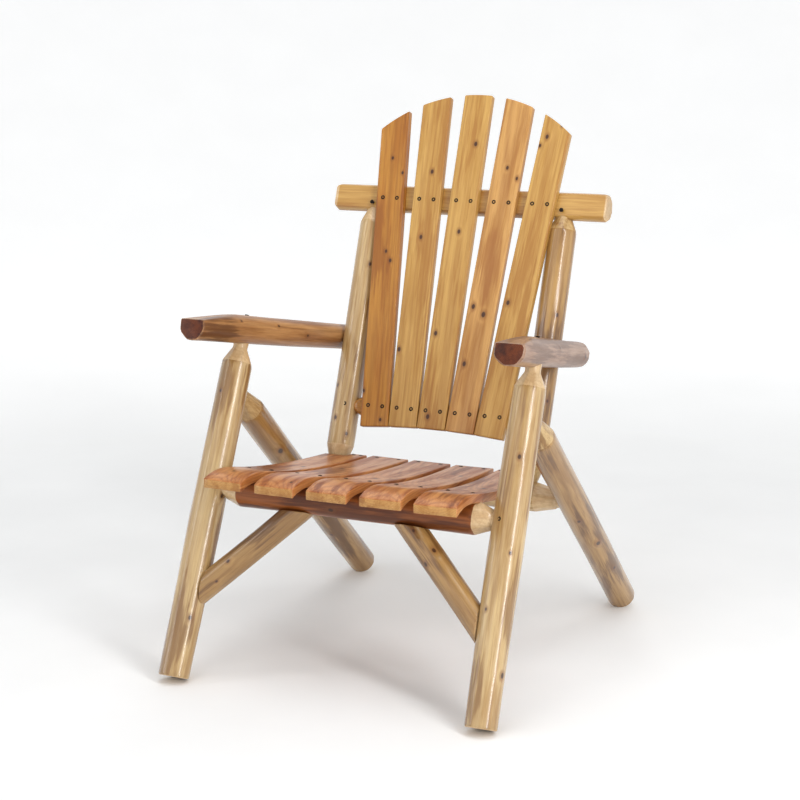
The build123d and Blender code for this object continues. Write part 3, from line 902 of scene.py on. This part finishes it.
def screw_rings(points):
    """The rings of one countersunk screw with a cross recess, from its CAD solid's points."""
    middle = points.mean(0)
    axis = np.linalg.svd(points - middle, full_matrices=False)[2][0]
    reach = (points - middle) @ axis
    off = np.linalg.norm(points - middle - reach[:, None] * axis, axis=1)
    if off[reach > reach.mean()].max() < off[reach < reach.mean()].max():
        axis, reach = -axis, -reach
    head = Vector(middle + axis * reach.max())
    length = float(reach.max() - reach.min())
    radius = float(off.max())
    outward = Vector(axis)
    side = outward.orthogonal().normalized()
    other = outward.cross(side)
    proud = 1.0 * MM
    profile = [
        (0.12 * radius, -1.5 * MM, 1.0),
        (0.55 * radius, -1.3 * MM, 1.0),
        (0.62 * radius, 0.0, 1.0),
        (0.82 * radius, 0.02 * MM, 0.0),
        (radius, -0.35 * MM, 0.0),
        (radius, -0.8 * MM, 0.0),
        (0.52 * radius, -3.0 * MM, 0.0),
        (0.5 * radius, -length, 0.0),
    ]
    segments = 24
    rings = []
    for size, depth, cross in profile:
        ring = []
        for segment in range(segments):
            turn = 2 * math.pi * segment / segments
            pinch = 1 - cross * 0.62 * (1 - abs(math.cos(2 * turn)) ** 1.5)
            spoke = side * math.cos(turn) + other * math.sin(turn)
            ring.append(head + outward * (depth + proud) + spoke * size * pinch)
        rings.append(ring)
    return rings


def make_screws(node, metal):
    """All the screws of one CAD node, as one piece."""
    points, triangles, *_ = cad_facets(node)
    all_points = []
    all_faces = []
    for part in loose_parts(points, triangles):
        part_points, part_faces = tube(screw_rings(part))
        base = len(all_points)
        all_points += part_points
        all_faces += [tuple(base + corner for corner in face) for face in part_faces]
    add_piece(node, all_points, all_faces, (metal,), Matrix(), (node,), sharp=30)


# ---------------------------------------------------------------- the chair

# Knots: share of the length from the foot or the left end, place across, radius in mm.
LEG_KNOTS = {
    "right": ((0.165, 0.35, 4.5), (0.51, 0.72, 4.5), (0.80, -0.6, 3.0)),
    "left": ((0.14, 0.75, 4.5), (0.70, -0.12, 4.0), (0.45, 0.15, 3.0), (0.3, -0.7, 3.0)),
}
REAR_LEG_KNOTS = {
    "right": ((0.72, 0.15, 6.5), (0.25, -0.5, 4.0)),
    "left": ((0.38, 0.2, 5.5), (0.52, -0.3, 4.0), (0.22, 0.5, 4.0)),
}
POST_KNOTS = {
    "right": ((0.22, -0.6, 3.5), (0.17, 0.35, 3.5), (0.33, -0.8, 3.0), (0.75, 0.2, 3.5)),
    "left": ((0.62, 0.35, 4.0), (0.34, 0.5, 3.5), (0.45, -0.4, 3.0)),
}
BRACE_KNOTS = {
    "right": ((0.35, -0.5, 3.5), (0.2, 0.2, 2.5)),
    "left": ((0.66, 0.4, 4.0), (0.62, -0.8, 4.0), (0.85, 0.0, 3.0)),
}
ARM_KNOTS = {
    "right": ((0.44, 0.35, 3.0), (0.22, 0.5, 2.5), (0.62, -0.2, 3.0)),
    "left": ((0.9, -0.2, 5.0), (0.5, 0.3, 3.0)),
}
BACK_KNOTS = {
    1: (
        (0.85, 0.0, 3.2),
        (0.80, 0.8, 3.0),
        (0.55, 0.0, 3.2),
        (0.52, 0.35, 3.6),
        (0.11, -0.9, 3.4),
        (0.02, 0.45, 3.2),
    ),
    2: ((0.77, 0.2, 4.0), (0.57, -0.1, 4.0), (0.23, -0.8, 4.2)),
    3: ((0.85, 0.3, 4.2), (0.585, 0.0, 4.0), (0.28, -0.6, 4.2), (0.035, -0.3, 4.4)),
    4: ((0.79, 0.0, 3.6), (0.76, 0.8, 3.2), (0.37, -0.6, 4.4), (0.35, 0.2, 5.0), (0.2, -0.5, 4.4)),
    5: ((0.93, -0.5, 4.0), (0.97, 0.35, 3.0), (0.90, -0.85, 3.2), (0.41, -0.65, 4.2)),
}
SEAT_KNOTS = {
    1: ((0.1, -0.1, 3.0), (0.55, 0.4, 4.0)),
    2: ((0.05, 0.6, 2.6), (0.6, -0.3, 4.5)),
    3: ((0.42, 0.1, 5.0),),
    4: ((0.3, -0.4, 3.5), (0.75, 0.4, 4.0)),
    5: ((0.5, 0.2, 4.5),),
}


def build_chair():
    """Every piece of the chair."""
    out = Vector((1, 0, 0))
    rear = Vector((0, 1, 0))
    for seed, side in enumerate(SIDES, start=1):
        make_log(f"front_leg_{side}", UP, RIGHT, "honey", seed, LEG_KNOTS[side], 1.5 * MM)
        make_log(f"rear_leg_{side}", UP, RIGHT, "khaki", seed + 2, REAR_LEG_KNOTS[side], 1.5 * MM)
        post_tone = "khaki" if side == "left" else "honey"
        make_log(f"back_post_{side}", UP, RIGHT, post_tone, seed + 4, POST_KNOTS[side])
        tone = "umber" if side == "right" else "rose"
        make_log(
            f"armrest_{side}",
            rear,
            UP,
            tone,
            seed + 6,
            ARM_KNOTS[side],
            planed=planed_arm,
            gloss=0.35,
        )
        make_log(
            f"brace_{side}",
            UP,
            RIGHT,
            "khaki",
            seed + 8,
            BRACE_KNOTS[side],
            0.6 * MM,
            slanted=True,
        )
    make_log("front_seat_rail", out, UP, "chestnut", 21, ((0.44, -0.45, 4.5),), gloss=0.2)
    make_log("rear_seat_rail", out, UP, "honey", 22, ((0.2, 0.3, 4.0), (0.6, 0.2, 4.0)))
    make_log(
        "top_rail", out, UP, "straw", 23, ((0.915, 0.1, 4.0),), planed=planed_rail, gloss=0.6
    )
    make_log(
        "lower_back_rail", out, UP, "amber", 24, ((0.5, 0.1, 3.0),), 0.4 * MM, planed=planed_rail
    )
    back_tones = ("amber", "straw", "straw", "tan", "straw")
    for number in range(1, 6):
        make_seat_slat(number, "russet", 30 + number, SEAT_KNOTS[number])
        make_back_slat(number, back_tones[number - 1], 40 + number, BACK_KNOTS[number])
    metal = dark_metal()
    for node in sorted(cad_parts):
        if "screws" in node:
            make_screws(node, metal)


add_camera()
add_floor()
add_lights()
build_chair()
bpy.context.scene.view_settings.view_transform = "Standard"
